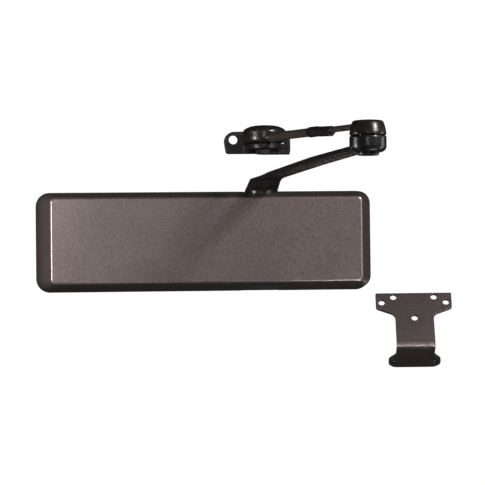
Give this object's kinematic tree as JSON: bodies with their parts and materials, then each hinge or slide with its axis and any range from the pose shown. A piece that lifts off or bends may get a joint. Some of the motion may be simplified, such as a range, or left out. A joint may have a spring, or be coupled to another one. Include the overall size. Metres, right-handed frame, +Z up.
{
  "type": "door closer",
  "caption": "Surface-mounted hydraulic door closer with dark bronze cover, regular double-lever arm with length adjustment and shoe, and a loose T-shaped parallel-arm bracket.",
  "frame": {"origin": "middle of the four mounting holes, on the face that lies against the door", "axes": "+X along the closer towards its pinion end, +Y into the door, +Z up along the spindle"},
  "size_m": [0.391, 0.3029, 0.2281],
  "materials": {
    "cover_paint": "satin metallic dark bronze",
    "dark_bronze_paint": "satin dark bronze",
    "dark_fasteners": "blackened",
    "body_casting": "cast, machined faces",
    "bare_steel": "machined",
    "spring_steel": "oiled",
    "seal_rubber": "matte",
    "brass": "machined",
    "insert_plastic": "matte"
  },
  "bodies": {
    "closer_housing": {"closer_body": "body_casting", "cover": "cover_paint", "upper_cover_insert": "insert_plastic", "lower_cover_insert": "insert_plastic", "cover_screws": "dark_fasteners", "spring_tube": "bare_steel", "tube_plug": "bare_steel", "tube_plug_seal": "seal_rubber", "end_plug": "bare_steel", "end_plug_seal": "seal_rubber", "upper_bearing_race": "bare_steel", "upper_shaft_seal": "seal_rubber", "upper_gland_nut": "bare_steel", "lower_bearing_race": "bare_steel", "lower_shaft_seal": "seal_rubber", "lower_gland_nut": "bare_steel", "closer_spring": "spring_steel", "closing_valve_seal": "seal_rubber", "latch_valve_seal": "seal_rubber", "backcheck_valve_seal": "seal_rubber"},
    "spindle_and_arm": {"pinion_shaft": "bare_steel", "main_arm": "dark_bronze_paint", "arm_screw": "dark_fasteners", "arm_washer": "dark_fasteners", "elbow_pin": "dark_fasteners"},
    "bearing_rollers": {"upper_bearing_rollers": "bare_steel", "lower_bearing_rollers": "bare_steel"},
    "piston": {"piston": "bare_steel", "piston_check_valve": "brass", "piston_seal": "seal_rubber"},
    "forearm": {"forearm_rod": "dark_bronze_paint", "elbow_cap": "dark_bronze_paint", "elbow_bush": "brass", "elbow_washer": "bare_steel"},
    "forearm_extension": {"forearm_tube": "dark_bronze_paint", "clamp_sleeve": "dark_bronze_paint", "clamp_screws": "dark_fasteners", "shoe_bush": "brass"},
    "shoe": {"shoe": "dark_bronze_paint", "shoe_pin": "dark_fasteners", "shoe_pin_nut": "dark_fasteners"},
    "adjuster_screw": {"power_adjuster": "bare_steel"},
    "spring_seat": {"spring_seat": "bare_steel"},
    "closing_valve": {"closing_speed_valve": "brass"},
    "latch_valve": {"latch_speed_valve": "brass"},
    "backcheck_valve": {"backcheck_valve": "brass"},
    "bracket": {"parallel_arm_bracket": "dark_bronze_paint"}
  },
  "joints": [
    {"name": "spindle_turn", "type": "hinge", "parent": "closer_housing", "child": "spindle_and_arm", "pos_m": [0.0525, -0.028, 0], "axis": [0, 0, 1], "range_deg": [0, 150], "stiffness_Nm_per_rad": 12, "springref_deg": -22.92},
    {"name": "rollers_orbit", "type": "hinge", "parent": "closer_housing", "child": "bearing_rollers", "pos_m": [0.0525, -0.028, 0], "axis": [0, 0, 1], "range_deg": [0, 70]},
    {"name": "piston_slide", "type": "slide", "parent": "closer_housing", "child": "piston", "axis": [1, 0, 0], "range_m": [-0.0292, 0], "deforming": ["closer_spring"]},
    {"name": "elbow", "type": "hinge", "parent": "spindle_and_arm", "child": "forearm", "pos_m": [0.11438, -0.28773, 0.0778], "axis": [0, 0, 1], "range_deg": [-160, 25]},
    {"name": "forearm_length", "type": "slide", "parent": "forearm", "child": "forearm_extension", "axis": [-0.2159, 0.9758, 0.0346], "range_m": [-0.022, 0.025]},
    {"name": "shoe_swivel", "type": "hinge", "parent": "forearm_extension", "child": "shoe", "pos_m": [0.0563, -0.0253, 0.0955], "axis": [0, 0, 1], "range_deg": [-75, 95]},
    {"name": "power_adjust", "type": "hinge", "parent": "closer_housing", "child": "adjuster_screw", "pos_m": [-0.14, -0.028, 0], "axis": [1, 0, 0], "range_deg": [0, 2880]},
    {"name": "seat_travel", "type": "slide", "parent": "closer_housing", "child": "spring_seat", "axis": [1, 0, 0], "range_m": [0, 0.0122]},
    {"name": "closing_speed_adjust", "type": "hinge", "parent": "closer_housing", "child": "closing_valve", "pos_m": [0.082, -0.048, 0.027], "axis": [0, -1, 0], "range_deg": [-360, 360]},
    {"name": "latch_speed_adjust", "type": "hinge", "parent": "closer_housing", "child": "latch_valve", "pos_m": [0.094, -0.048, 0.027], "axis": [0, -1, 0], "range_deg": [-360, 360]},
    {"name": "backcheck_adjust", "type": "hinge", "parent": "closer_housing", "child": "backcheck_valve", "pos_m": [0.088, -0.048, -0.027], "axis": [0, -1, 0], "range_deg": [-360, 360]},
    {"name": "bracket_lift", "type": "slide", "parent": "closer_housing", "child": "bracket", "axis": [0, -1, 0], "range_m": [0, 0.25]}
  ],
  "couplings": [
    {"joint": "piston_slide", "follows": "spindle_turn", "m_per_rad": -0.011},
    {"joint": "rollers_orbit", "follows": "spindle_turn", "ratio": 0.43774},
    {"joint": "seat_travel", "follows": "power_adjust", "m_per_rad": 0.00023873}
  ]
}
